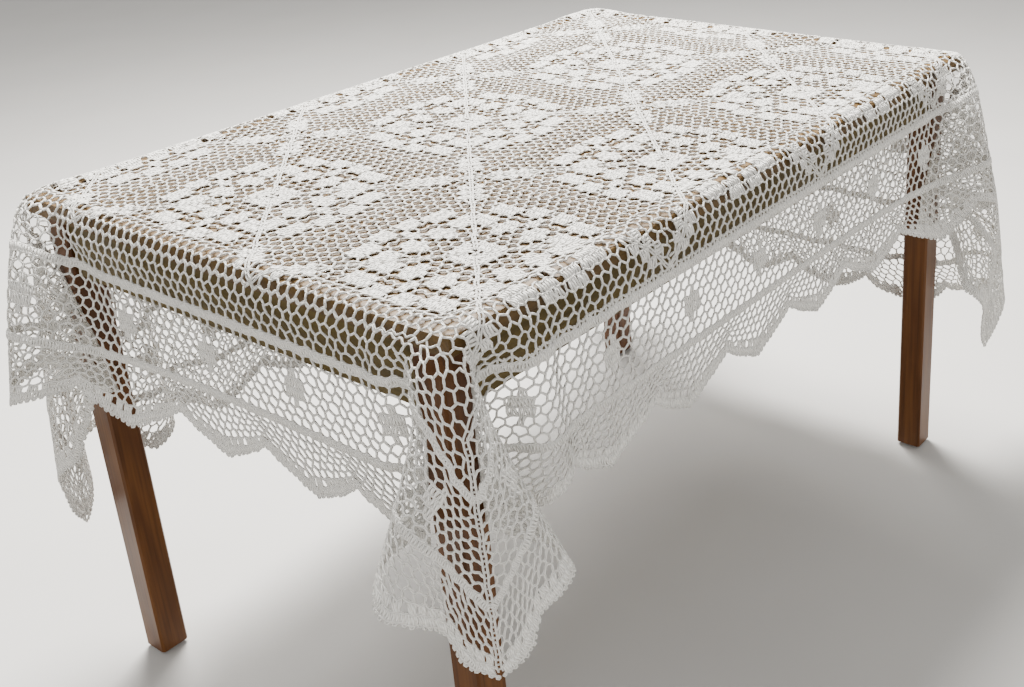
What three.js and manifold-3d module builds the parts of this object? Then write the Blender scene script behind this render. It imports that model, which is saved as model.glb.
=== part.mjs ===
// A crocheted cotton tablecloth lying on a plain wooden dining table.
//
// Millimetres, +Z up, +X along the long side of the table. The origin is on the floor under the
// middle of the table. The cloth is made of joined square motifs inside a bordered, pointed edging.
// It lies off centre, so it hangs further down on the right and back sides than on the left and
// front. Each piece of the cloth is a thin plain solid in the place it drapes to.

import * as THREE from 'three';
import * as BufferGeometryUtils from 'three/addons/utils/BufferGeometryUtils.js';
import Module from 'manifold-3d';

const wasm = await Module();
wasm.setup();

// ---- table ----
const TABLE_L = 1200;
const TABLE_W = 790;
const TABLE_H = 740;
const TOP_T = 22;
const BOARDS = 5;
const LEG = 44;
const LEG_INSET_X = 8;
const LEG_INSET_Y = 24;
const APRON_H = 84;
const APRON_T = 20;
const APRON_SETBACK = 6;
// How far the brace's inner and outer edges meet the aprons from the corner between them.
const BRACE_NEAR = 46;
const BRACE_FAR = 70;
const BRACE_H = 60;
const BRACE_DROP = 10;
const GLIDE_R = 15;
const GLIDE_H = 5;
const EASE = 3;

// ---- tablecloth ----
const GAP = 0.3;
const CLOTH_T = 2.5;
const STAND_OFF = 6;
const MOTIF = 360;
const COLUMNS = 4;
const ROWS = 3;
// How far the motif field reaches past the left and front edges of the table.
const FIELD_LEFT = 13;
const FIELD_FRONT = 58;
// Depths below the table top of the two solid bands and the hem on the left and front sides.
const BAND_1 = 70;
const BAND_2 = 177;
const HEM_VALLEY = 212;
const HEM_TIP = 267;
const POINTS_LONG = 12;
const POINTS_SHORT = 9;
// Width of the stretch next to each table corner that hangs as a flared corner.
const CORNER = 80;
// How far out from each table corner its flared corner stands at its lower edge.
const FLARE = { front_left: 125, front_right: 85, back_right: 125, back_left: 60 };
const FLARE_TOP = 3;

const HX = TABLE_L / 2;
const HY = TABLE_W / 2;
const FIELD_RIGHT = COLUMNS * MOTIF - TABLE_L - FIELD_LEFT;
const FIELD_BACK = ROWS * MOTIF - TABLE_W - FIELD_FRONT;
// Extra depth of the border on the right and back sides.
const MORE_RIGHT = FIELD_RIGHT - FIELD_LEFT;
const MORE_BACK = FIELD_BACK - FIELD_FRONT;
const Z_UNDER = TABLE_H + GAP;
const Z_OVER = Z_UNDER + CLOTH_T;
const SKIN_IN = STAND_OFF;
const SKIN_OUT = STAND_OFF + CLOTH_T;

const group = new THREE.Group();

function material(color, roughness, metalness = 0) {
  return new THREE.MeshStandardMaterial({ color, roughness, metalness });
}

function add(name, geometry, look) {
  const mesh = new THREE.Mesh(geometry, look());
  mesh.name = name;
  group.add(mesh);
  return mesh;
}

const wood = () => material(0x8a5a2b, 0.45);
const darkWood = () => material(0x6e3f18, 0.5);
const cotton = () => material(0xf1ede2, 0.9);
const nylon = () => material(0x3a342e, 0.7);

// A bar with eased long edges: section w by h, running along +X from the origin.
function bar(length, w, h, ease = EASE) {
  const s = new THREE.Shape();
  s.moveTo(ease, 0);
  s.lineTo(w - ease, 0);
  s.lineTo(w, ease);
  s.lineTo(w, h - ease);
  s.lineTo(w - ease, h);
  s.lineTo(ease, h);
  s.lineTo(0, h - ease);
  s.lineTo(0, ease);
  s.closePath();
  const g = new THREE.ExtrudeGeometry(s, { depth: length, bevelEnabled: false });
  // The section's x becomes +Y, its y becomes +Z and the extrusion runs along +X.
  g.applyMatrix4(new THREE.Matrix4().set(0, 0, 1, 0, 1, 0, 0, 0, 0, 1, 0, 0, 0, 0, 0, 1));
  return g;
}

function box(x0, x1, y0, y1, z0, z1) {
  const g = new THREE.BoxGeometry(x1 - x0, y1 - y0, z1 - z0);
  g.translate((x0 + x1) / 2, (y0 + y1) / 2, (z0 + z1) / 2);
  return g;
}

function toSolid(geometry) {
  const g = geometry.clone();
  g.deleteAttribute('normal');
  g.deleteAttribute('uv');
  const m = BufferGeometryUtils.mergeVertices(g, 1e-4);
  return new wasm.Manifold(
    new wasm.Mesh({
      numProp: 3,
      vertProperties: new Float32Array(m.attributes.position.array),
      triVerts: new Uint32Array(m.index.array),
    }),
  );
}

function fromSolid(solid) {
  const mesh = solid.getMesh();
  const g = new THREE.BufferGeometry();
  g.setAttribute('position', new THREE.BufferAttribute(new Float32Array(mesh.vertProperties), 3));
  g.setIndex(new THREE.BufferAttribute(new Uint32Array(mesh.triVerts), 1));
  const flat = g.toNonIndexed();
  flat.computeVertexNormals();
  return flat;
}

function joined(parts) {
  let solid = toSolid(parts[0]);
  for (const part of parts.slice(1)) {
    solid = solid.add(toSolid(part));
  }
  return fromSolid(solid);
}

// ---- the table ----

function tableTop() {
  const w = TABLE_W / BOARDS;
  for (let i = 0; i < BOARDS; i += 1) {
    const g = bar(TABLE_L, w - GAP, TOP_T, 1);
    g.translate(-HX, -HY + i * w + GAP / 2, TABLE_H - TOP_T);
    add(`top_board_${i + 1}`, g, wood);
  }
}

function legs() {
  for (const [name, sx, sy] of corners()) {
    const leg = bar(TABLE_H - TOP_T - GAP * 2 - GLIDE_H, LEG, LEG);
    // Stand the bar up: its length along +Z.
    leg.applyMatrix4(new THREE.Matrix4().set(0, 1, 0, 0, 0, 0, 1, 0, 1, 0, 0, 0, 0, 0, 0, 1));
    const cx = sx * (HX - LEG_INSET_X - LEG / 2);
    const cy = sy * (HY - LEG_INSET_Y - LEG / 2);
    leg.translate(cx - LEG / 2, cy - LEG / 2, GLIDE_H + GAP);
    add(`leg_${name}`, leg, darkWood);
    const glide = new THREE.CylinderGeometry(GLIDE_R, GLIDE_R - 1.5, GLIDE_H, 32);
    glide.rotateX(Math.PI / 2);
    glide.translate(cx, cy, GLIDE_H / 2);
    add(`glide_${name}`, glide, nylon);
  }
}

function corners() {
  return [
    ['front_left', -1, -1],
    ['front_right', 1, -1],
    ['back_right', 1, 1],
    ['back_left', -1, 1],
  ];
}

function aprons() {
  const z = TABLE_H - TOP_T - GAP - APRON_H;
  const innerX = HX - LEG_INSET_X - LEG - GAP;
  const innerY = HY - LEG_INSET_Y - LEG - GAP;
  for (const [name, s] of [['front', -1], ['back', 1]]) {
    const g = bar(innerX * 2, APRON_T, APRON_H, 2);
    const y = s * (HY - LEG_INSET_Y - APRON_SETBACK - APRON_T / 2) - APRON_T / 2;
    g.translate(-innerX, y, z);
    add(`apron_${name}`, g, wood);
  }
  for (const [name, s] of [['left', -1], ['right', 1]]) {
    const g = bar(innerY * 2, APRON_T, APRON_H, 2);
    g.rotateZ(Math.PI / 2);
    const x = s * (HX - LEG_INSET_X - APRON_SETBACK - APRON_T / 2) + APRON_T / 2;
    g.translate(x, -innerY, z);
    add(`apron_${name}`, g, wood);
  }
}

// A brace across the inside of each corner, screwed to both aprons, behind the leg.
function braces() {
  const x0 = HX - LEG_INSET_X - APRON_SETBACK - APRON_T - GAP;
  const y0 = HY - LEG_INSET_Y - APRON_SETBACK - APRON_T - GAP;
  for (const [name, sx, sy] of corners()) {
    const s = new THREE.Shape();
    const at = (dx, dy) => [sx * (x0 - dx), sy * (y0 - dy)];
    const points = [at(0, BRACE_NEAR), at(0, BRACE_FAR), at(BRACE_FAR, 0), at(BRACE_NEAR, 0)];
    if (sx * sy < 0) {
      points.reverse();
    }
    s.moveTo(...points[0]);
    for (const p of points.slice(1)) {
      s.lineTo(...p);
    }
    s.closePath();
    const g = new THREE.ExtrudeGeometry(s, { depth: BRACE_H, bevelEnabled: false });
    g.translate(0, 0, TABLE_H - TOP_T - GAP - BRACE_DROP - BRACE_H);
    add(`corner_brace_${name}`, g, wood);
  }
}

// ---- the cloth ----

// One rectangle of the flat cloth, x0..x1 by y0..y1 in the table's own plan, folded down over the
// table's edges. The stretches next to a table corner are left out: the flared corner has them.
function folded(x0, x1, y0, y1) {
  const g = GAP / 2;
  const a = x0 + g;
  const b = x1 - g;
  const c = y0 + g;
  const d = y1 - g;
  const parts = [];
  const px0 = Math.max(a, -HX);
  const px1 = Math.min(b, HX);
  const py0 = Math.max(c, -HY);
  const py1 = Math.min(d, HY);
  parts.push(box(px0, px1, py0, py1, Z_UNDER, Z_OVER));
  // At a table corner the top reaches out to the flared corner that hangs there.
  const lip = SKIN_IN - GAP;
  if (Math.abs(a + b) / 2 + MOTIF / 2 > HX && Math.abs(c + d) / 2 + MOTIF / 2 > HY) {
    const lx = a + b < 0 ? [-HX - lip, -HX + CORNER + 1] : [HX - CORNER - 1, HX + lip];
    const ly = c + d < 0 ? [-HY - lip, -HY + CORNER + 1] : [HY - CORNER - 1, HY + lip];
    parts.push(box(...lx, ...ly, Z_UNDER, Z_OVER));
  }
  const sx0 = Math.max(a, -HX + CORNER);
  const sx1 = Math.min(b, HX - CORNER);
  const sy0 = Math.max(c, -HY + CORNER);
  const sy1 = Math.min(d, HY - CORNER);
  if (a < -HX) {
    parts.push(box(-HX - SKIN_OUT, -HX + 1, sy0, sy1, Z_UNDER, Z_OVER));
    parts.push(box(-HX - SKIN_OUT, -HX - SKIN_IN, sy0, sy1, TABLE_H + HX + a, Z_OVER));
  }
  if (b > HX) {
    parts.push(box(HX - 1, HX + SKIN_OUT, sy0, sy1, Z_UNDER, Z_OVER));
    parts.push(box(HX + SKIN_IN, HX + SKIN_OUT, sy0, sy1, TABLE_H + HX - b, Z_OVER));
  }
  if (c < -HY) {
    parts.push(box(sx0, sx1, -HY - SKIN_OUT, -HY + 1, Z_UNDER, Z_OVER));
    parts.push(box(sx0, sx1, -HY - SKIN_OUT, -HY - SKIN_IN, TABLE_H + HY + c, Z_OVER));
  }
  if (d > HY) {
    parts.push(box(sx0, sx1, HY - 1, HY + SKIN_OUT, Z_UNDER, Z_OVER));
    parts.push(box(sx0, sx1, HY + SKIN_IN, HY + SKIN_OUT, TABLE_H + HY - d, Z_OVER));
  }
  return parts.length > 1 ? joined(parts) : parts[0];
}

function motifs() {
  for (let j = 0; j < ROWS; j += 1) {
    for (let i = 0; i < COLUMNS; i += 1) {
      const x = -HX - FIELD_LEFT + i * MOTIF;
      const y = -HY - FIELD_FRONT + j * MOTIF;
      add(`motif_row${j + 1}_col${i + 1}`, folded(x, x + MOTIF, y, y + MOTIF), cotton);
    }
  }
}

// A flat strip that hangs on one side, drawn in that side's own plane: u along the side and depth
// down from the table top, then turned into place.
function hanging(side, outline) {
  const s = new THREE.Shape();
  const along = side === 'front' || side === 'back' ? 'x' : 'y';
  s.moveTo(outline[0][0], -outline[0][1]);
  for (const [u, depth] of outline.slice(1)) {
    s.lineTo(u, -depth);
  }
  s.closePath();
  const g = new THREE.ExtrudeGeometry(s, { depth: CLOTH_T, bevelEnabled: false });
  // Drawn in X and Y, thick along Z: stand it up, so it is thick along Y.
  g.rotateX(Math.PI / 2);
  if (along === 'x') {
    const y = side === 'front' ? -HY - SKIN_IN : HY + SKIN_OUT;
    g.translate(0, y, TABLE_H);
  } else {
    g.rotateZ(Math.PI / 2);
    const x = side === 'right' ? HX + SKIN_IN : -HX - SKIN_OUT;
    g.translate(x, 0, TABLE_H);
  }
  return g;
}

const SIDES = [
  ['front', HX, FIELD_FRONT, 0, POINTS_LONG],
  ['back', HX, FIELD_BACK, MORE_BACK, POINTS_LONG],
  ['left', HY, FIELD_LEFT, 0, POINTS_SHORT],
  ['right', HY, FIELD_RIGHT, MORE_RIGHT, POINTS_SHORT],
];

function borders() {
  for (const [side, half, field, more, points] of SIDES) {
    const u = half - CORNER - GAP / 2;
    const strip = (d0, d1) => [[-u, d0 + GAP / 2], [u, d0 + GAP / 2], [u, d1 - GAP / 2], [-u, d1 - GAP / 2]];
    add(`border_inner_${side}`, hanging(side, strip(field, BAND_1 + more)), cotton);
    add(`border_mesh_${side}`, hanging(side, strip(BAND_1 + more, BAND_2 + more)), cotton);
    const edge = [[-u, BAND_2 + more + GAP / 2], [u, BAND_2 + more + GAP / 2]];
    const pitch = (2 * u) / points;
    for (let k = 0; k < points; k += 1) {
      const right = u - k * pitch;
      edge.push([right, HEM_VALLEY + more]);
      edge.push([right - pitch / 2, HEM_TIP + more]);
    }
    edge.push([-u, HEM_VALLEY + more]);
    add(`edging_${side}`, hanging(side, edge), cotton);
  }
}

// The cloth round a table corner: a thin shell that is tight to the corner at the top and flares
// out towards its lower point.
function flare(sx, sy, out, depthX, depthY, depthPoint) {
  const around = 20;
  const down = 10;
  const position = [];
  const index = [];
  const a = CORNER + SKIN_OUT;
  const at = (i, k, skin) => {
    const theta = ((i / around) * Math.PI) / 2;
    const end = Math.sin(2 * theta) ** 2;
    // Depth of this line of the shell at its lower edge.
    const low = depthX + (depthY - depthX) * (i / around) + (depthPoint - (depthX + depthY) / 2) * end;
    const t = k / down;
    const reach = FLARE_TOP + (out - FLARE_TOP) * t ** 1.15;
    const k45 = Math.SQRT2 * (1 + reach / a) - 1;
    const r = (a + (skin - 1) * CLOTH_T) * (1 + k45 * end);
    const x = CORNER - r * Math.cos(theta) - (i === around ? GAP : 0);
    const y = CORNER - r * Math.sin(theta) - (i === 0 ? GAP : 0);
    const z = Z_OVER - t * (low + CLOTH_T + GAP);
    return [sx * (HX - x), sy * (HY - y), z];
  };
  for (let skin = 0; skin < 2; skin += 1) {
    for (let k = 0; k <= down; k += 1) {
      for (let i = 0; i <= around; i += 1) {
        position.push(...at(i, k, skin));
      }
    }
  }
  const n = around + 1;
  const id = (i, k, skin) => skin * n * (down + 1) + k * n + i;
  const quad = (p, q, r, s) => index.push(p, q, r, p, r, s);
  for (let k = 0; k < down; k += 1) {
    for (let i = 0; i < around; i += 1) {
      quad(id(i, k, 1), id(i + 1, k, 1), id(i + 1, k + 1, 1), id(i, k + 1, 1));
      quad(id(i, k, 0), id(i, k + 1, 0), id(i + 1, k + 1, 0), id(i + 1, k, 0));
    }
    quad(id(0, k, 0), id(0, k, 1), id(0, k + 1, 1), id(0, k + 1, 0));
    quad(id(around, k, 1), id(around, k, 0), id(around, k + 1, 0), id(around, k + 1, 1));
  }
  for (let i = 0; i < around; i += 1) {
    quad(id(i, 0, 0), id(i + 1, 0, 0), id(i + 1, 0, 1), id(i, 0, 1));
    quad(id(i, down, 1), id(i + 1, down, 1), id(i + 1, down, 0), id(i, down, 0));
  }
  if (sx * sy > 0) {
    for (let f = 0; f < index.length; f += 3) {
      [index[f + 1], index[f + 2]] = [index[f + 2], index[f + 1]];
    }
  }
  const g = new THREE.BufferGeometry();
  g.setAttribute('position', new THREE.Float32BufferAttribute(position, 3));
  g.setIndex(index);
  const flat = g.toNonIndexed();
  flat.computeVertexNormals();
  return flat;
}

function cornerFalls() {
  for (const [name, sx, sy] of corners()) {
    const moreX = sx > 0 ? MORE_RIGHT : 0;
    const moreY = sy > 0 ? MORE_BACK : 0;
    // The cloth's corner point is as far from the table corner as it is on the flat cloth.
    const flat = Math.hypot(HEM_TIP + moreX, HEM_TIP + moreY);
    const point = Math.sqrt(flat ** 2 - 2 * FLARE[name] ** 2);
    const geometry = flare(sx, sy, FLARE[name], HEM_VALLEY + moreX, HEM_VALLEY + moreY, point);
    add(`corner_fall_${name}`, geometry, cotton);
  }
}

tableTop();
legs();
aprons();
braces();
motifs();
borders();
cornerFalls();

export default group;
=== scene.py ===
# A crocheted cotton tablecloth over a wooden dining table.
#
# The cloth is first laid as a plain sheet and let fall over the table. Then every chain, treble and
# picot of the crochet is laid out on the flat cloth, carried to its place on the fallen sheet and
# made as a round strand of yarn. Metres, +Z up, the origin on the floor under the table.

import math

import bpy
import numpy as np
from mathutils import Matrix, Vector


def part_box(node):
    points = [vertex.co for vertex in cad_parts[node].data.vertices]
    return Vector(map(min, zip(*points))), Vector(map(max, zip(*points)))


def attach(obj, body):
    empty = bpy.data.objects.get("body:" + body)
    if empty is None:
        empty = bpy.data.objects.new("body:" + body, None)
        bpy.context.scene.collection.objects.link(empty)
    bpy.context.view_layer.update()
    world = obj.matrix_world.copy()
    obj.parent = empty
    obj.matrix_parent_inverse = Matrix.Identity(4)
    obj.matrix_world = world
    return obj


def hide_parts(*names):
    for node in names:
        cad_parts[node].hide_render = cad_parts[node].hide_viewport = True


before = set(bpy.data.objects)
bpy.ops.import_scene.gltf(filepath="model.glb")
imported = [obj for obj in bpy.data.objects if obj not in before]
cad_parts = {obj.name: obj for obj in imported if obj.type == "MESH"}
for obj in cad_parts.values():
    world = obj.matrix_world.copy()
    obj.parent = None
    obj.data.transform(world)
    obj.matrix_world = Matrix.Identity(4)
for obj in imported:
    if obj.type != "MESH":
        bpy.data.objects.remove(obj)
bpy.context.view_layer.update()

# ---- sizes, from the frame ----

SIDES = ("front", "back", "left", "right")
CORNERS = {"front_left": (-1, -1), "front_right": (1, -1), "back_right": (1, 1), "back_left": (-1, 1)}
COLUMNS, ROWS = 4, 3
BOARDS = [f"top_board_{i}" for i in range(1, 6)]

GAP = 0.0003
top_low = Vector(map(min, *(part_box(n)[0] for n in BOARDS)))
top_high = Vector(map(max, *(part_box(n)[1] for n in BOARDS)))
HALF_X = top_high.x
HALF_Y = round(top_high.y, 3)
TOP_Z = top_high.z
TOP_T = top_high.z - top_low.z
LEG_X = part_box("leg_front_right")[1].x
LEG_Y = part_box("leg_back_right")[1].y

motif_low, motif_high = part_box("motif_row2_col2")
MOTIF = motif_high.x - motif_low.x + GAP
FIELD_X0 = motif_low.x - GAP / 2 - MOTIF
FIELD_Y0 = motif_low.y - GAP / 2 - MOTIF
FIELD_X1 = FIELD_X0 + COLUMNS * MOTIF
FIELD_Y1 = FIELD_Y0 + ROWS * MOTIF
FIELD_X = (FIELD_X0 + FIELD_X1) / 2
FIELD_Y = (FIELD_Y0 + FIELD_Y1) / 2

# ---- the flat cloth ----

# Distances of the border's lines from the motif field: first band, second band, hem between two
# points, hem at a point. The short sides have four more rounds of mesh than the long ones.
LONG = dict(band_1=0.010, band_2=0.117, valley=0.163, tip=0.203)
SHORT = dict(band_1=0.057, band_2=0.164, valley=0.210, tip=0.250)
LINES = ("band_1", "band_2", "valley", "tip")
BAND = 0.0085
# Next to a mitre each line bows outwards by this much: first band, second band, points of the hem.
# The bow dies away over SAG_WIDTH along the line.
SAG = (0.047, 0.026, 0.012)
SAG_WIDTH = 0.075
# The corner point of the hem is cut back by this much, which rounds it.
BLUNT = 0.016
POINTS_LONG = 12
POINTS_SHORT = 9

CELL = MOTIF / 23
ROUND_HEIGHT = 0.0128
# Half the width of a mesh strand, half the width and thickness of a solid treble, and how far the
# middle of the cloth rides above the wood.
YARN = 0.00150
TREBLE_W = 0.0021
TREBLE_T = 0.0012
RIDE = 0.0024
# How far a corner's fold stands out from the table, for each metre it hangs down.
FOLD_OUT = {"front_right": 0.33, "back_right": 0.30, "back_left": 0.10}

rng = np.random.default_rng(11)


# ---- how the sheet falls ----


def sweeps(shape, dj, di):
    """Slices that pair each grid point with the one (dj, di) away, in sets that share no point."""
    rows, columns = shape
    sets = []
    if di:
        for start in range(2 * di):
            count = len(range(start, columns - di, 2 * di))
            if count:
                a = slice(start, start + 2 * di * (count - 1) + 1, 2 * di)
                b = slice(start + di, start + di + 2 * di * (count - 1) + 1, 2 * di)
                near, far = slice(0, rows - abs(dj)), slice(abs(dj), rows)
                sets.append(((near, a), (far, b)) if dj >= 0 else ((far, a), (near, b)))
    else:
        for start in range(2 * dj):
            count = len(range(start, rows - dj, 2 * dj))
            if count:
                a = slice(start, start + 2 * dj * (count - 1) + 1, 2 * dj)
                b = slice(start + dj, start + dj + 2 * dj * (count - 1) + 1, 2 * dj)
                sets.append(((a, slice(None)), (b, slice(None))))
    return sets


def pull(points, free, a, b, rest, firmness, only_push):
    """Move each pair of points towards its resting distance."""
    apart = points[b] - points[a]
    length = np.sqrt((apart * apart).sum(-1)) + 1e-12
    error = (length - rest) / length
    if only_push:
        error = np.minimum(error, 0)
    shares = np.maximum(free[a] + free[b], 1)
    step = (error * firmness / shares)[..., None] * apart
    points[a] += step * free[a][..., None]
    points[b] -= step * free[b][..., None]


def clear_of_table(points, clearance):
    """Push points out of the table top, and out of the block of its apron and legs."""
    soft = 0.003
    middle = np.array([0, 0, TOP_Z - TOP_T / 2])
    half = np.array([HALF_X, HALF_Y, TOP_T / 2]) - soft
    away = points - middle
    outside = np.maximum(np.abs(away) - half, 0)
    distance = np.sqrt((outside**2).sum(-1))
    reach = soft + clearance
    near = (distance > 0) & (distance < reach)
    scale = np.where(near, (reach - distance) / (distance + 1e-12), 0)
    points += np.sign(away) * outside * scale[..., None]
    inside = distance == 0
    if inside.any():
        points[..., 2] = np.where(inside, TOP_Z + clearance, points[..., 2])
    block = np.array([LEG_X, LEG_Y]) + clearance
    depth = block - np.abs(points[..., :2])
    low = (points[..., 2] < TOP_Z - TOP_T) & (depth > 0).all(-1)
    if low.any():
        along = depth[..., 0] < depth[..., 1]
        for axis, chosen in ((0, low & along), (1, low & ~along)):
            side = np.sign(points[..., axis]) * block[axis]
            points[..., axis] = np.where(chosen, side, points[..., axis])


def fallen_sheet(spacing=0.0155, rounds=620, fast_rounds=380):
    """The flat sheet's grid lines, and where each crossing comes to rest over the table."""
    x = np.linspace(FIELD_X0 - SHORT["tip"], FIELD_X1 + SHORT["tip"], 2 * round(0.97 / spacing) + 1)
    y = np.linspace(FIELD_Y0 - LONG["tip"], FIELD_Y1 + LONG["tip"], 2 * round(0.75 / spacing) + 1)
    flat_x, flat_y = np.meshgrid(x, y)
    step_x, step_y = x[1] - x[0], y[1] - y[0]
    slant = math.hypot(step_x, step_y)
    edge_x = np.clip(flat_x, -HALF_X, HALF_X)
    edge_y = np.clip(flat_y, -HALF_Y, HALF_Y)
    beyond = np.hypot(flat_x - edge_x, flat_y - edge_y)
    # It starts with its overhang already leaning down, which saves most of the fall.
    lean = math.radians(30)
    points = np.stack(
        [
            edge_x + (flat_x - edge_x) * math.cos(lean),
            edge_y + (flat_y - edge_y) * math.cos(lean),
            TOP_Z + RIDE - beyond * math.sin(lean),
        ],
        -1,
    )
    points[..., 2] += np.random.default_rng(4).normal(0, 0.002, flat_x.shape) * (beyond > 0)
    edge = np.stack([edge_x, edge_y, np.full_like(edge_x, TOP_Z + RIDE)], -1)
    tether = beyond * 1.002 + 0.0005
    hanging = (beyond > 0)[..., None]
    lies = (np.abs(flat_x) < HALF_X - 0.02) & (np.abs(flat_y) < HALF_Y - 0.02)
    free = np.where(lies, 0.0, 1.0)
    ties = [(0, 1, step_x, 1, False), (1, 0, step_y, 1, False)]
    ties += [(1, 1, slant, 0.07, False), (-1, 1, slant, 0.07, False)]
    ties += [(0, 2, 1.97 * step_x, 0.35, True), (2, 0, 1.97 * step_y, 0.35, True)]
    ties += [(2, 2, 1.94 * slant, 0.35, True), (-2, 2, 1.94 * slant, 0.35, True)]
    ties += [(0, 4, 3.6 * step_x, 0.2, True), (4, 0, 3.6 * step_y, 0.2, True)]
    ties += [(4, 4, 3.2 * slant, 0.2, True), (-4, 4, 3.2 * slant, 0.2, True)]
    ties = [(sweeps(flat_x.shape, dj, di), *rest) for dj, di, *rest in ties]
    before = points.copy()
    for number in range(rounds):
        speed = (points - before) * 0.95
        size = np.sqrt((speed**2).sum(-1)) + 1e-12
        speed *= np.minimum(1, 0.004 / size)[..., None]
        before = points.copy()
        points += speed * free[..., None]
        points[..., 2] -= (0.0003 if number < fast_rounds else 0.00008) * free
        for _ in range(2):
            away = points - edge
            length = np.sqrt((away**2).sum(-1)) + 1e-12
            held = edge + away * np.minimum(1, tether / length)[..., None]
            points = np.where(hanging, held, points)
            for sets, rest, firmness, only_push in ties:
                for a, b in sets:
                    pull(points, free, a, b, rest, firmness, only_push)
        # Three of the corners hang close to the table.
        for corner, lean in FOLD_OUT.items():
            away = np.array(CORNERS[corner]) * math.sqrt(0.5)
            depth = np.maximum(TOP_Z - points[..., 2], 0.03)
            spread = points[..., :2] @ away - abs(away[0]) * (HALF_X + HALF_Y) - lean * depth
            points[..., :2] -= np.maximum(spread, 0)[..., None] * away * 0.12
        moved = points.copy()
        clear_of_table(moved, RIDE)
        points = np.where(lies[..., None], points, moved)
    return x, y, points


def finer(values, factor):
    """Catmull-Rom curves through the rows of values, factor points for each one before."""
    padded = np.concatenate([2 * values[:1] - values[1:2], values, 2 * values[-1:] - values[-2:-1]])
    p0, p1, p2, p3 = padded[:-3], padded[1:-2], padded[2:-1], padded[3:]
    made = []
    for t in np.arange(factor) / factor:
        made.append(
            0.5
            * (
                2 * p1
                + (p2 - p0) * t
                + (2 * p0 - 5 * p1 + 4 * p2 - p3) * t**2
                + (3 * p1 - p0 - 3 * p2 + p3) * t**3
            )
        )
    woven = np.stack(made, 1).reshape(-1, *values.shape[1:])
    return np.concatenate([woven, values[-1:]])


class Sheet:
    """The fallen cloth as a smooth surface: a flat place gives a point in the room and a normal."""

    def __init__(self, factor=4):
        x, y, points = fallen_sheet()
        self.points = finer(finer(points, factor).swapaxes(0, 1), factor).swapaxes(0, 1)
        self.start = np.array([x[0], y[0]])
        self.step = np.array([x[1] - x[0], y[1] - y[0]]) / factor
        across = np.gradient(self.points, axis=1)
        along = np.gradient(self.points, axis=0)
        normal = np.cross(across, along)
        self.normals = normal / (np.linalg.norm(normal, axis=-1, keepdims=True) + 1e-12)

    def at(self, flat):
        rows, columns = self.points.shape[:2]
        place = (flat - self.start) / self.step
        i = np.clip(np.floor(place[..., 0]).astype(int), 0, columns - 2)
        j = np.clip(np.floor(place[..., 1]).astype(int), 0, rows - 2)
        s = (place[..., 0] - i)[..., None]
        t = (place[..., 1] - j)[..., None]
        result = []
        for grid in (self.points, self.normals):
            low = grid[j, i] * (1 - s) + grid[j, i + 1] * s
            high = grid[j + 1, i] * (1 - s) + grid[j + 1, i + 1] * s
            result.append(low * (1 - t) + high * t)
        return result


# ---- yarn ----


def hand(flat):
    """The small unevenness of handwork: a smooth wander of up to about a millimetre."""
    x, y = flat[..., 0], flat[..., 1]
    dx = np.sin(171 * x + 90 * y) + np.sin(263 * y - 120 * x + 1.3) + np.sin(97 * x - 313 * y)
    dy = np.sin(203 * y - 77 * x + 0.7) + np.sin(149 * x + 251 * y) + np.sin(331 * x - 57 * y + 2.1)
    return flat + np.stack([dx, dy], -1) * 0.00045


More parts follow.
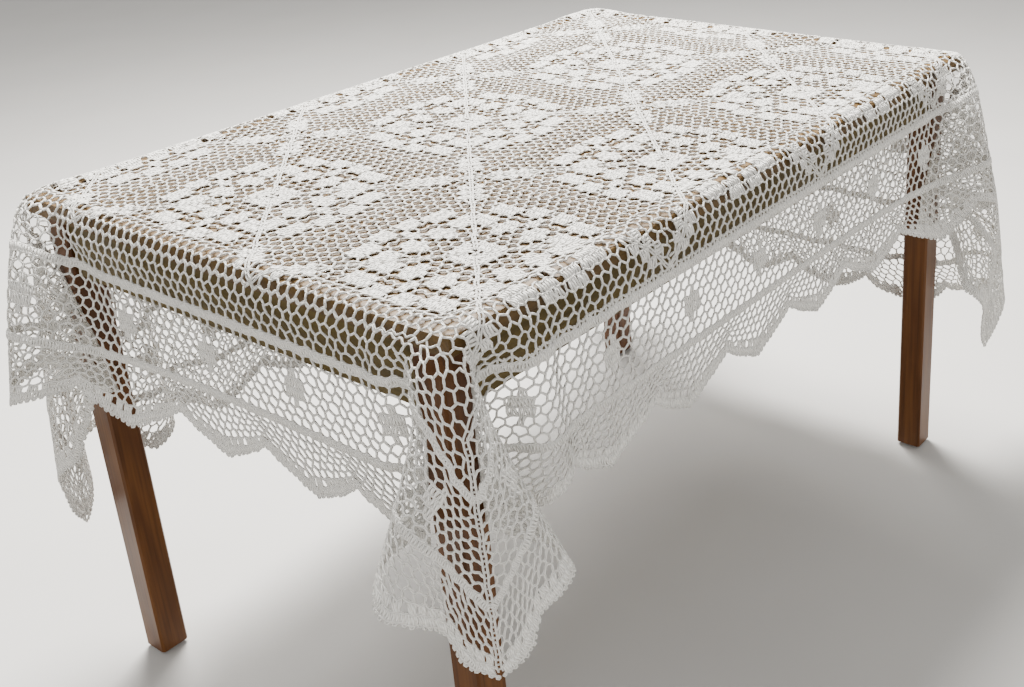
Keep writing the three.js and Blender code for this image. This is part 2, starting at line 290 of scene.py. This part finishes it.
class Yarn:
    """The strands of one piece of crochet, gathered and then made into one mesh."""

    SIDES = 5

    def __init__(self, sheet):
        self.sheet = sheet
        self.rings = []
        self.quads = []
        self.caps = []
        self.lengths = []
        self.count = 0

    def strands(self, flat, wide=YARN, thick=YARN, lift=0.0):
        """flat is strands x points x 2, places on the flat cloth."""
        flat = np.asarray(flat, float)
        if not len(flat):
            return
        n, m = flat.shape[:2]
        centre, normal = self.sheet.at(hand(flat))
        centre = centre + normal * lift
        clear_of_table(centre, thick + 0.0003)
        ahead = np.gradient(centre, axis=1)
        ahead /= np.linalg.norm(ahead, axis=-1, keepdims=True) + 1e-12
        side = np.cross(normal, ahead)
        side /= np.linalg.norm(side, axis=-1, keepdims=True) + 1e-12
        up = np.cross(ahead, side)
        size = rng.normal(1, 0.06, (n, 1, 1)).clip(0.85, 1.15)
        k = self.SIDES
        ring = []
        for step in range(k):
            turn = 2 * math.pi * step / k
            ring.append(centre + size * (side * wide * math.cos(turn) + up * thick * math.sin(turn)))
        self.rings.append(np.stack(ring, 2).reshape(-1, 3))
        first = self.count + (np.arange(n)[:, None] * m + np.arange(m)[None, :]) * k
        a = first[:, :-1, None] + np.arange(k)
        b = first[:, :-1, None] + (np.arange(k) + 1) % k
        c = first[:, 1:, None] + (np.arange(k) + 1) % k
        d = first[:, 1:, None] + np.arange(k)
        self.quads.append(np.stack([a, b, c, d], -1).reshape(-1, 4))
        start = first[:, 0, None] + np.arange(k)[::-1]
        end = first[:, -1, None] + np.arange(k)
        self.caps.append(np.concatenate([start, end]))
        run = np.linalg.norm(np.diff(centre, axis=1), axis=-1)
        run = np.concatenate([np.zeros((n, 1)), np.cumsum(run, 1)], 1) + rng.uniform(0, 1, (n, 1))
        self.lengths.append(run.reshape(-1))
        self.count += n * m * k

    def strand(self, flat, **options):
        self.strands(np.asarray(flat)[None], **options)

    def mesh(self, name):
        k = self.SIDES
        vertices = np.concatenate(self.rings)
        quads = np.concatenate(self.quads)
        caps = np.concatenate(self.caps)
        run = np.repeat(np.concatenate(self.lengths), k)
        made = bpy.data.meshes.new(name)
        made.vertices.add(len(vertices))
        made.vertices.foreach_set("co", vertices.astype(np.float32).reshape(-1))
        loops = np.concatenate([quads.reshape(-1), caps.reshape(-1)])
        made.loops.add(len(loops))
        made.loops.foreach_set("vertex_index", loops.astype(np.int32))
        starts = np.concatenate([np.arange(len(quads)) * 4, len(quads) * 4 + np.arange(len(caps)) * k])
        made.polygons.add(len(starts))
        made.polygons.foreach_set("loop_start", starts.astype(np.int32))
        made.update(calc_edges=True)
        made.validate()
        made.polygons.foreach_set("use_smooth", np.ones(len(made.polygons), bool))
        # U runs along the yarn in metres and V once round it.
        strip = np.repeat(np.tile(np.arange(k), len(quads) // k), 4)
        turn = np.tile(np.array([0, 1, 1, 0]), len(quads)) + strip
        v = np.concatenate([turn / k, np.full(caps.size, 0.5)])
        uv = np.stack([run[loops], v], -1)
        layer = made.uv_layers.new(name="yarn")
        layer.data.foreach_set("uv", uv.astype(np.float32).reshape(-1))
        return made


def runs(kept):
    """The stretches of consecutive points that are kept, as slices."""
    edges = np.flatnonzero(np.diff(np.concatenate([[0], kept.astype(int), [0]])))
    return [slice(a, b) for a, b in zip(edges[::2], edges[1::2]) if b - a > 2]


def chain_line(place, line, half, open_amount, cell=CELL):
    """One round's chain, wavy where it hangs between the posts of an open mesh."""
    count = max(2, int(round(half / (cell / 4))))
    a = np.arange(-count, count + 1) * cell / 4
    a = a * (half / (count * cell / 4))
    wave = np.cos(2 * math.pi * a / cell - math.pi * (line % 2))
    fade = np.clip((half - np.abs(a)) / (cell / 2), 0, 1)
    return a, place(a, line + 0.2 * wave * fade * open_amount(a, line))


def net(yarn, place, rounds, half, solid=None, left_out=None, inside=None, cell=CELL, last_line=True):
    """Rounds of crochet mesh: chains along each line, and posts and solid trebles between lines.

    place(a, line) gives flat places for a distance a along round number line, half(line) is how
    far the round reaches each way, solid(a, line) says where trebles fill the mesh, and
    inside(a, line) where there is any crochet at all.
    """
    solid = solid or (lambda a, line: np.zeros(np.shape(a), bool))

    def open_amount(a, line):
        full = solid(a, line - 0.5).astype(float) + solid(a, line + 0.5).astype(float)
        return 1 - 0.5 * full

    for line in range(rounds + (1 if last_line else 0)):
        a, flat = chain_line(place, line, half(line), open_amount, cell)
        kept = inside(a, line) if inside else np.ones(len(a), bool)
        for run in runs(kept):
            yarn.strand(flat[run])
    for row in range(rounds):
        middle = row + 0.5
        reach = half(middle) - 0.35 * cell
        count = int(reach / (cell / 4))
        step = np.arange(-count, count + 1)
        a = step * cell / 4
        filled = solid(a, middle)
        post = (step - 2 * (row % 2)) % 4 == 0
        if left_out is not None:
            post &= ~left_out(a, middle)
        if inside is not None:
            post &= inside(a, middle)
            filled &= inside(a, middle)
        for chosen, wide, thick, top, bottom in (
            (post & ~filled, YARN, YARN, 0.18, 0.82),
            (filled, TREBLE_W, TREBLE_T, -0.02, 1.02),
        ):
            b = a[chosen]
            if len(b):
                lean = 0.06 * cell * rng.normal(0, 1, (len(b), 1))
                lines = np.linspace(row + top, row + bottom, 3)[None, :]
                leaning = b[:, None] + lean * np.array([[-1, 0, 1]])
                yarn.strands(place(leaning, lines), wide=wide, thick=thick)


# ---- one motif ----

CENTRE = 0.08
ROUNDS = 12
ROUND = (0.5 - CENTRE) / ROUNDS


def rounded(s, t, s0, t0, half_s, half_t):
    """Whether (s, t) or its mirror image is within a square with well rounded corners."""
    return (np.abs(s - s0) / half_s) ** 2.6 + (np.abs(np.abs(t) - t0) / half_t) ** 2.6 < 1


def motif_solid(a, line):
    """Where trebles fill a quarter of the motif: the petals of its flower and half of two leaves."""
    t = a / MOTIF
    s = CENTRE + line * ROUND
    petals = rounded(s, t, 0.206, 0.058, 0.041, 0.041) | rounded(s, t, 0.366, 0.058, 0.043, 0.043)
    petals |= rounded(s, t, 0.220, 0.172, 0.038, 0.054) | rounded(s, t, 0.326, 0.172, 0.038, 0.056)
    heart = np.abs(s - 0.286) / 0.042 + np.abs(t) / 0.028 < 1
    bulge = np.clip((s - 0.315) / 0.180, 0, 1)
    leaf = s - np.abs(t) < 0.058 * np.sin(math.pi * bulge) ** 0.7
    return petals | heart | (leaf & (s > 0.315) & (s < 0.495))


def motif_left_out(a, line):
    """The larger holes round the heart of a flower, where one post is missing."""
    t = a / MOTIF
    s = CENTRE + line * ROUND
    return (np.abs(np.abs(t) - 0.075) < 0.028) & (np.abs(s - 0.284) < 0.030)


def motif(yarn, cx, cy):
    centre = np.array([cx, cy])
    for quarter in range(4):
        out = np.array([[1, 0], [0, 1], [-1, 0], [0, -1]][quarter])
        along = np.array([-out[1], out[0]])

        def place(a, line, out=out, along=along):
            s = (CENTRE + np.asarray(line) * ROUND) * MOTIF
            a, s = np.broadcast_arrays(a, s)
            return centre + s[..., None] * out + a[..., None] * along

        def half(line):
            return (CENTRE + line * ROUND) * MOTIF - 0.0008

        # Two neighbours share one chain along their seam.
        shared = (quarter == 2 and cx > FIELD_X0 + MOTIF) or (quarter == 3 and cy > FIELD_Y0 + MOTIF)
        net(yarn, place, ROUNDS, half, motif_solid, motif_left_out, last_line=not shared)

        def inner(a, line, out=out, along=along):
            s = np.asarray(line) * CENTRE * MOTIF / 3
            a, s = np.broadcast_arrays(a, s)
            return centre + s[..., None] * out + a[..., None] * along

        def filled(a, line):
            return np.ones(np.shape(a), bool)

        net(yarn, inner, 3, lambda line: line * CENTRE * MOTIF / 3 + 0.001, filled, last_line=False)
        diagonal = (out + along).astype(float)
        rib(yarn, centre + diagonal[None] * np.linspace(0.02, 0.5, 60)[:, None] * MOTIF)


def rib(yarn, path, apart=0.0017, lift=0.0004):
    """A ridge of two strands with a rung between them every few millimetres."""
    ahead = np.gradient(path, axis=0)
    ahead /= np.linalg.norm(ahead, axis=-1, keepdims=True)
    side = np.stack([-ahead[:, 1], ahead[:, 0]], -1)
    for sign in (-1, 1):
        yarn.strand(path + side * apart * sign, wide=0.0013, thick=0.0013, lift=lift)
    rungs = np.stack([path + side * apart, path, path - side * apart], 1)[::2]
    yarn.strands(rungs, wide=0.0012, thick=0.001, lift=lift)


# ---- the border ----


def side_frame(side):
    """How far the field's side is from its middle, and the flat place of (along, out from it)."""
    long = side in ("front", "back")
    half = (FIELD_X1 - FIELD_X0) / 2 if long else (FIELD_Y1 - FIELD_Y0) / 2
    lines = LONG if long else SHORT
    others = SHORT if long else LONG

    def sag(depth):
        return np.interp(depth, [lines["band_1"], lines["band_2"], lines["tip"]], SAG)

    def reach(depth):
        """Half the length of the round at that distance out, mitre to mitre."""
        out = depth + sag(depth)
        return half + np.interp(out, [0] + [lines[k] for k in LINES], [0] + [others[k] for k in LINES])

    def bowed(a, depth):
        """The distance out of the field, with the bow next to the mitre."""
        return depth + sag(depth) * np.exp(-(((reach(depth) - np.abs(a)) / SAG_WIDTH) ** 2))

    def place(a, depth):
        a, depth = np.broadcast_arrays(a, depth)
        depth = bowed(a, depth)
        if side == "front":
            return np.stack([FIELD_X + a, FIELD_Y0 - depth], -1)
        if side == "back":
            return np.stack([FIELD_X - a, FIELD_Y1 + depth], -1)
        if side == "left":
            return np.stack([FIELD_X0 - depth, FIELD_Y - a], -1)
        return np.stack([FIELD_X1 + depth, FIELD_Y + a], -1)

    return place, reach, bowed, lines


def mesh_between(yarn, side, low, high, rounds, solid=None, inside=None):
    """Open mesh from one distance out to another."""
    place, reach, _, _ = side_frame(side)

    def distance(line):
        return low + (high - low) * np.asarray(line) / rounds

    def at(a, line):
        return place(a, distance(line))

    def half(line):
        return float(reach(distance(line))) - 0.0028

    net(yarn, at, rounds, half, solid, inside=inside)


def band(yarn, side, depth):
    """A raised row of close trebles between two chains."""
    place, reach, _, _ = side_frame(side)
    low, high = depth - BAND / 2, depth + BAND / 2
    half = float(reach(depth)) - 0.002
    pitch = 0.0036
    a = np.arange(-int(half / pitch), int(half / pitch) + 1) * pitch
    across = np.linspace(low, high, 3)[None, :]
    yarn.strands(place(a[:, None], across), wide=0.0019, thick=0.0017, lift=0.0007)
    for d in (low, high):
        count = int(half / 0.004)
        b = np.linspace(-half, half, 2 * count + 1)
        yarn.strand(place(b, d), wide=0.0016, thick=0.0016, lift=0.0005)


def border_inner(yarn, side):
    """Mesh from the motifs to the first band; near a mitre it has more rounds than in the middle."""
    place, reach, bowed, lines = side_frame(side)
    high = lines["band_1"] - BAND / 2
    rounds = round((high + SAG[0]) / ROUND_HEIGHT)
    low = high - rounds * ROUND_HEIGHT

    def inside(a, line):
        return bowed(a, low + line * ROUND_HEIGHT) > 0.0005

    mesh_between(yarn, side, low, high, rounds, inside=inside)
    if high < ROUND_HEIGHT:
        half = float(reach(0)) - 2 * SAG_WIDTH
        count = int(half / CELL * 2)
        a = np.arange(-count, count + 1) * CELL / 2
        yarn.strands(place(a[:, None], np.array([[-0.001, high / 2, high]])))
    band(yarn, side, lines["band_1"])


def border_mesh(yarn, side):
    """Honeycomb between the two bands, with a small solid diamond above each point of the hem."""
    _, reach, _, lines = side_frame(side)
    low = lines["band_1"] + BAND / 2
    high = lines["band_2"] - BAND / 2
    rounds = round((high - low) / ROUND_HEIGHT)
    points = POINTS_LONG if side in ("front", "back") else POINTS_SHORT
    pitch = 2 * float(reach(lines["valley"])) / points

    def diamond(a, line):
        offset = np.abs((np.asarray(a) / pitch + points / 2 + 0.5) % 1 - 0.5) * pitch
        inside = offset / (1.4 * CELL) + np.abs(line - rounds / 2) / 1.9 < 1
        return inside & (np.abs(a) < float(reach(lines["band_1"])) - 2 * CELL)

    mesh_between(yarn, side, low, high, rounds, diamond)
    band(yarn, side, lines["band_2"])


EDGE_ROUNDS = 7


def hem(side):
    """The place of (q, line) on the pointed edging: q is -1 to 1 from mitre to mitre."""
    place, reach, _, lines = side_frame(side)
    points = POINTS_LONG if side in ("front", "back") else POINTS_SHORT
    top = lines["band_2"] + BAND / 2
    length = float(reach(lines["valley"]))

    def depth(q):
        share = (np.asarray(q) * points / 2 + points / 2 + 0.5) % 1
        rise = 1 - np.abs(2 * share - 1)
        # Next to the mitre the points run together into one rounded corner.
        to_mitre = (1 - np.abs(np.asarray(q))) * length
        rise = rise + (1 - rise) * 0.8 * np.exp(-((to_mitre / 0.09) ** 2))
        blunt = BLUNT * np.exp(-((to_mitre / 0.03) ** 2))
        return lines["valley"] + (lines["tip"] - lines["valley"]) * rise**0.8 - blunt

    def at(q, line):
        out = top + (depth(q) - top) * np.asarray(line) / EDGE_ROUNDS
        return place(np.asarray(q) * reach(out) * 0.9985, out)

    return at, length


def edging(yarn, side):
    """Flattened mesh that fans out into the points of the hem, a close last round, and picots."""
    at, length = hem(side)
    cell = CELL * 0.86
    scale = 1 / length

    def place(a, line):
        return at(np.asarray(a) * scale, line)

    def solid(a, line):
        gaps = np.sin(np.asarray(a) * 410 + 2.4 * np.floor(line)) < -0.55
        return (line > EDGE_ROUNDS - 2.2) & ~(gaps & (line < EDGE_ROUNDS - 1))

    net(yarn, place, EDGE_ROUNDS, lambda line: length - 0.001, solid, cell=cell)
    pitch = 0.0078
    a = np.arange(-int(length / pitch), int(length / pitch) + 1) * pitch
    loop = np.linspace(0, math.pi, 4)[None, :]
    out = EDGE_ROUNDS + 0.05 + 0.30 * np.sin(loop)
    yarn.strands(place(a[:, None] - 0.0022 * np.cos(loop), out), wide=0.0015, thick=0.0015)


def corner_rib(yarn, corner):
    """The mitre rib from the corner of the motif field to the corner point of the hem."""
    sx, sy = CORNERS[corner]
    start = np.array([FIELD_X1 if sx > 0 else FIELD_X0, FIELD_Y1 if sy > 0 else FIELD_Y0])
    out_x = np.array([0] + [SHORT[k] for k in LINES])
    out_y = np.array([0] + [LONG[k] for k in LINES])
    share = np.linspace(0, LONG["tip"] + SAG[2] - BLUNT - 0.004, 90)
    path = start + np.stack([sx * np.interp(share, out_y, out_x), sy * share], -1)
    rib(yarn, path, apart=0.0022, lift=0.0008)


# ---- materials ----


def node_group(name, inputs, outputs):
    tree = bpy.data.node_groups.new(name, "ShaderNodeTree")
    for label, kind, value in inputs:
        socket = tree.interface.new_socket(label, in_out="INPUT", socket_type=kind)
        if value is not None:
            socket.default_value = value
    for label, kind in outputs:
        tree.interface.new_socket(label, in_out="OUTPUT", socket_type=kind)
    return tree, tree.nodes.new("NodeGroupInput"), tree.nodes.new("NodeGroupOutput")


def node(tree, kind, links=None, **settings):
    """A node, its inputs by name or number from sockets or constant values."""
    made = tree.nodes.new(kind)
    for key, value in settings.items():
        setattr(made, key, value)
    for key, value in (links or {}).items():
        if isinstance(value, bpy.types.NodeSocket):
            tree.links.new(value, made.inputs[key])
        else:
            made.inputs[key].default_value = value
    return made


def mix_colour(tree, factor, a, b):
    return node(tree, "ShaderNodeMix", {0: factor, 6: a, 7: b}, data_type="RGBA").outputs[2]


def math_node(tree, operation, a, b=0.0, c=0.0, clamp=False):
    terms = {0: a, 1: b, 2: c}
    return node(tree, "ShaderNodeMath", terms, operation=operation, use_clamp=clamp).outputs[0]


def noise(tree, vector, scale, detail):
    terms = {"Vector": vector, "Scale": scale, "Detail": detail}
    return node(tree, "ShaderNodeTexNoise", terms).outputs[0]


def bump_from(tree, surface, height, strength, distance):
    """Relief on a surface from a height."""
    terms = {"Height": height, "Strength": strength, "Distance": distance}
    tree.links.new(node(tree, "ShaderNodeBump", terms).outputs[0], surface.inputs["Normal"])


def yarn_group():
    """Plied yarn: a mask of the grooves between its plies, which the cotton uses for painted shade,
    and the height of plies and fuzz.
    """
    tree, given, result = node_group(
        "plied_yarn",
        [
            ("UV", "NodeSocketVector", None),
            ("Plies", "NodeSocketFloat", 3.0),
            ("Lay", "NodeSocketFloat", 0.009),
        ],
        [("Groove_Shade", "NodeSocketFloat"), ("Height", "NodeSocketFloat"), ("Fuzz", "NodeSocketFloat")],
    )
    apart = node(tree, "ShaderNodeSeparateXYZ", {0: given.outputs["UV"]})
    turns = math_node(tree, "DIVIDE", apart.outputs["X"], given.outputs["Lay"])
    around = math_node(tree, "MULTIPLY", apart.outputs["Y"], given.outputs["Plies"])
    phase = math_node(tree, "MULTIPLY", math_node(tree, "ADD", turns, around), 2 * math.pi)
    wave = math_node(tree, "SINE", phase)
    height = math_node(tree, "MULTIPLY_ADD", wave, 0.5, 0.5)
    groove_shade = math_node(tree, "POWER", math_node(tree, "SUBTRACT", 1.0, height), 3.0)
    far_along = math_node(tree, "MULTIPLY", apart.outputs["X"], 900.0)
    stretched = node(tree, "ShaderNodeCombineXYZ", {0: far_along, 1: around})
    fuzz = noise(tree, stretched.outputs[0], 1.6, 3.0)
    tall = math_node(tree, "ADD", height, math_node(tree, "MULTIPLY", fuzz, 0.5))
    tree.links.new(groove_shade, result.inputs["Groove_Shade"])
    tree.links.new(tall, result.inputs["Height"])
    tree.links.new(fuzz, result.inputs["Fuzz"])
    return tree


def grain_group():
    """Wood grain along X: ring lines, fibre and pores, as a tone from 0 to 1 and a height."""
    tree, given, result = node_group(
        "wood_grain",
        [("Vector", "NodeSocketVector", None), ("Rings", "NodeSocketFloat", 9.0)],
        [("Tone", "NodeSocketFloat"), ("Pores", "NodeSocketFloat"), ("Wear", "NodeSocketFloat")],
    )
    where = given.outputs["Vector"]
    drawn = node(tree, "ShaderNodeMapping", {"Vector": where, "Scale": (0.55, 6.0, 6.0)})
    bend = noise(tree, drawn.outputs[0], 1.7, 4.0)
    rings = math_node(tree, "MULTIPLY", bend, given.outputs["Rings"])
    wave = math_node(tree, "SINE", math_node(tree, "MULTIPLY", rings, 2 * math.pi))
    lines = math_node(tree, "MULTIPLY_ADD", wave, 0.5, 0.5)
    fine = node(tree, "ShaderNodeMapping", {"Vector": where, "Scale": (7.0, 260.0, 260.0)})
    fibre = noise(tree, fine.outputs[0], 1.0, 2.0)
    pores = math_node(tree, "POWER", fibre, 3.0)
    tone = math_node(tree, "MULTIPLY_ADD", lines, 0.6, math_node(tree, "MULTIPLY", fibre, 0.4))
    worn = noise(tree, where, 5.0, 5.0)
    tree.links.new(tone, result.inputs["Tone"])
    tree.links.new(pores, result.inputs["Pores"])
    tree.links.new(worn, result.inputs["Wear"])
    return tree


def new_material(name):
    made = bpy.data.materials.new(name)
    made.use_nodes = True
    tree = made.node_tree
    return made, tree, tree.nodes["Principled BSDF"]


def cotton(name, yarn, light, groove_shade_colour):
    """Mercerised crochet cotton: off-white, with painted shade darkening the grooves between the
    plies, and a slight sheen.
    """
    made, tree, surface = new_material(name)
    uv = node(tree, "ShaderNodeUVMap", uv_map="yarn")
    plies = node(tree, "ShaderNodeGroup", node_tree=yarn)
    tree.links.new(uv.outputs[0], plies.inputs["UV"])
    where = node(tree, "ShaderNodeTexCoord")
    patch = noise(tree, where.outputs["Object"], 14.0, 3.0)
    spread = node(tree, "ShaderNodeMapRange", {0: patch, 1: 0.35, 2: 0.7})
    base = mix_colour(tree, spread.outputs[0], (*light, 1), tuple(c * 0.94 for c in light) + (1,))
    # Painted shade: the grooves between the plies are mixed towards the groove shade colour.
    shade = math_node(tree, "MULTIPLY", plies.outputs["Groove_Shade"], 0.55)
    colour = mix_colour(tree, shade, base, (*groove_shade_colour, 1))
    tree.links.new(colour, surface.inputs["Base Color"])
    rough = node(tree, "ShaderNodeMapRange", {0: plies.outputs["Fuzz"], 3: 0.68, 4: 0.92})
    tree.links.new(rough.outputs[0], surface.inputs["Roughness"])
    surface.inputs["Sheen Weight"].default_value = 0.25
    surface.inputs["Sheen Roughness"].default_value = 0.4
    surface.inputs["Specular IOR Level"].default_value = 0.35
    bump_from(tree, surface, plies.outputs["Height"], 1.0, 0.0014)
    return made


def wood(name, grain, pale, deep, turn, rough, rings=9.0):
    """Varnished wood with its grain along the axis that turn brings to X."""
    made, tree, surface = new_material(name)
    where = node(tree, "ShaderNodeTexCoord")
    turned = node(tree, "ShaderNodeMapping", {"Vector": where.outputs["Object"], "Rotation": turn})
    figure = node(tree, "ShaderNodeGroup", node_tree=grain)
    tree.links.new(turned.outputs[0], figure.inputs["Vector"])
    figure.inputs["Rings"].default_value = rings
    colour = mix_colour(tree, figure.outputs["Tone"], (*pale, 1), (*deep, 1))
    darker = math_node(tree, "MULTIPLY", figure.outputs["Pores"], 1.4, clamp=True)
    colour = mix_colour(tree, darker, colour, tuple(c * 0.45 for c in deep) + (1,))
    tree.links.new(colour, surface.inputs["Base Color"])
    spread = {0: figure.outputs["Wear"], 1: 0.3, 2: 0.7, 3: rough, 4: rough + 0.16}
    worn = node(tree, "ShaderNodeMapRange", spread)
    tree.links.new(worn.outputs[0], surface.inputs["Roughness"])
    surface.inputs["Specular IOR Level"].default_value = 0.18
    surface.inputs["Coat Weight"].default_value = 0.04
    surface.inputs["Coat Roughness"].default_value = 0.25
    bump_from(tree, surface, figure.outputs["Pores"], 0.35, 0.0004)
    return made


def nylon(name):
    """Moulded foot glide: dark, faintly mottled and scuffed."""
    made, tree, surface = new_material(name)
    where = node(tree, "ShaderNodeTexCoord")
    fleck = noise(tree, where.outputs["Object"], 900.0, 2.0)
    colour = mix_colour(tree, fleck, (0.03, 0.027, 0.024, 1), (0.075, 0.068, 0.06, 1))
    tree.links.new(colour, surface.inputs["Base Color"])
    rough = node(tree, "ShaderNodeMapRange", {0: fleck, 3: 0.5, 4: 0.8})
    tree.links.new(rough.outputs[0], surface.inputs["Roughness"])
    bump_from(tree, surface, fleck, 0.3, 0.0003)
    return made


def floor_material():
    made, tree, surface = new_material("pale_floor")
    where = node(tree, "ShaderNodeTexCoord")
    cloud = noise(tree, where.outputs["Object"], 3.0, 6.0)
    colour = mix_colour(tree, cloud, (0.47, 0.455, 0.43, 1), (0.52, 0.505, 0.48, 1))
    tree.links.new(colour, surface.inputs["Base Color"])
    surface.inputs["Roughness"].default_value = 0.75
    return made


# ---- building ----


def table_pieces():
    grain = grain_group()
    quarter = math.pi / 2
    # Painted shade: the top's tan and honey are the wood's own colour, made darker to stand for the
    # shadow the lace casts on the top.
    tan_with_painted_shade, honey_with_painted_shade = (0.150, 0.086, 0.026), (0.080, 0.044, 0.012)
    olive, umber = (0.15, 0.105, 0.028), (0.085, 0.058, 0.014)
    amber, brown = (0.13, 0.050, 0.012), (0.07, 0.024, 0.006)
    looks = {
        "top": wood("varnished_top", grain, tan_with_painted_shade, honey_with_painted_shade, (0, 0, 0), 0.34),
        "apron_x": wood("apron_wood_x", grain, olive, umber, (0, 0, 0), 0.42),
        "apron_y": wood("apron_wood_y", grain, olive, umber, (0, 0, quarter), 0.42),
        "leg": wood("leg_wood", grain, amber, brown, (0, quarter, 0), 0.36, 7.0),
        "glide": nylon("glide_nylon"),
    }
    for n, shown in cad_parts.items():
        kind = n.split("_")[0]
        if kind in ("motif", "border", "edging") or n.startswith("corner_fall"):
            continue
        key = {"top": "top", "leg": "leg", "glide": "glide", "corner": "apron_x"}.get(kind)
        if kind == "apron":
            key = "apron_x" if n.endswith(("front", "back")) else "apron_y"
        shown.data.materials.clear()
        shown.data.materials.append(looks[key])
        soften = shown.modifiers.new("eased_edges", "BEVEL")
        soften.width = 0.0006
        soften.segments = 2
        soften.limit_method = "ANGLE"


def lace_piece(name, yarn, look, stands_for):
    made = yarn.mesh(name)
    obj = bpy.data.objects.new(name, made)
    bpy.context.scene.collection.objects.link(obj)
    made.materials.append(look)
    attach(obj, "tablecloth")
    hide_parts(*stands_for)
    return obj


def lace():
    sheet = Sheet()
    # The second colour is the painted shade in the grooves between the plies.
    look = cotton("crochet_cotton", yarn_group(), (0.94, 0.915, 0.855), (0.44, 0.405, 0.335))
    for row in range(ROWS):
        for column in range(COLUMNS):
            yarn = Yarn(sheet)
            motif(yarn, FIELD_X0 + (column + 0.5) * MOTIF, FIELD_Y0 + (row + 0.5) * MOTIF)
            n = f"motif_row{row + 1}_col{column + 1}"
            made = lace_piece(f"lace_{n}", yarn, look, [n])
    for corner in CORNERS:
        yarn = Yarn(sheet)
        corner_rib(yarn, corner)
        lace_piece(f"lace_rib_{corner}", yarn, look, [f"corner_fall_{corner}"])
    for side, corner in zip(SIDES, ("front_left", "back_right", "back_left", "front_right")):
        _, reach, _, lines = side_frame(side)
        made = {}
        for make in (border_inner, border_mesh, edging):
            kind = make.__name__
            yarn = Yarn(sheet)
            make(yarn, side)
            n = f"{kind}_{side}"
            made[kind] = lace_piece(f"lace_{n}", yarn, look, [n])
        low, high = lines["band_1"] + BAND / 2, lines["band_2"] + BAND / 2
        flat = (2 * float(reach((low + high) / 2)), high - low)
        low, high = high, (lines["valley"] + lines["tip"]) / 2
        2 * float(reach((low + high) / 2))


def floor():
    made = bpy.data.meshes.new("floor")
    reach, low = 9.0, -0.0005
    corners = [(sx * reach, sy * reach, low) for sx, sy in CORNERS.values()]
    made.from_pydata(corners, [], [(0, 1, 2, 3)])
    obj = bpy.data.objects.new("floor", made)
    bpy.context.scene.collection.objects.link(obj)
    made.materials.append(floor_material())


def camera():
    """Seen from in front of the left end, a little above the table."""
    yaw, pitch, roll = (math.radians(d) for d in (38.61, 22.21, -3.19))
    forward = Vector(
        (math.cos(yaw) * math.cos(pitch), math.sin(yaw) * math.cos(pitch), -math.sin(pitch))
    )
    level = Vector((math.sin(yaw), -math.cos(yaw), 0))
    upright = level.cross(forward)
    right = math.cos(roll) * level + math.sin(roll) * upright
    up = -math.sin(roll) * level + math.cos(roll) * upright
    data = bpy.data.cameras.new("camera")
    data.sensor_width = 36
    data.lens = 44.96
    data.shift_x = -0.1113
    data.shift_y = -0.1113
    obj = bpy.data.objects.new("camera", data)
    bpy.context.scene.collection.objects.link(obj)
    turn = Matrix((right, up, -forward)).transposed().to_4x4()
    obj.matrix_world = Matrix.Translation((-1.361, -1.232, TOP_Z + 0.5616)) @ turn
    bpy.context.scene.camera = obj


def lamp(name, place, aim, size, power, colour):
    data = bpy.data.lights.new(name, "AREA")
    data.shape = "DISK"
    data.size = size
    data.energy = power
    data.color = colour
    obj = bpy.data.objects.new(name, data)
    bpy.context.scene.collection.objects.link(obj)
    obj.location = place
    obj.rotation_euler = (Vector(place) - Vector(aim)).to_track_quat("Z", "Y").to_euler()


def lights():
    lamp("key", (0.9, 1.2, 3.0), (0, 0, TOP_Z), 1.8, 600, (1.0, 0.985, 0.96))
    lamp("fill", (-2.6, -2.4, 1.7), (0, 0, 0.5), 2.4, 40, (0.97, 0.98, 1.0))
    world = bpy.data.worlds.new("studio")
    bpy.context.scene.world = world
    world.use_nodes = True
    back = world.node_tree.nodes["Background"]
    back.inputs["Color"].default_value = (1.0, 0.995, 0.985, 1)
    back.inputs["Strength"].default_value = 0.85


table_pieces()
lace()
floor()
camera()
lights()
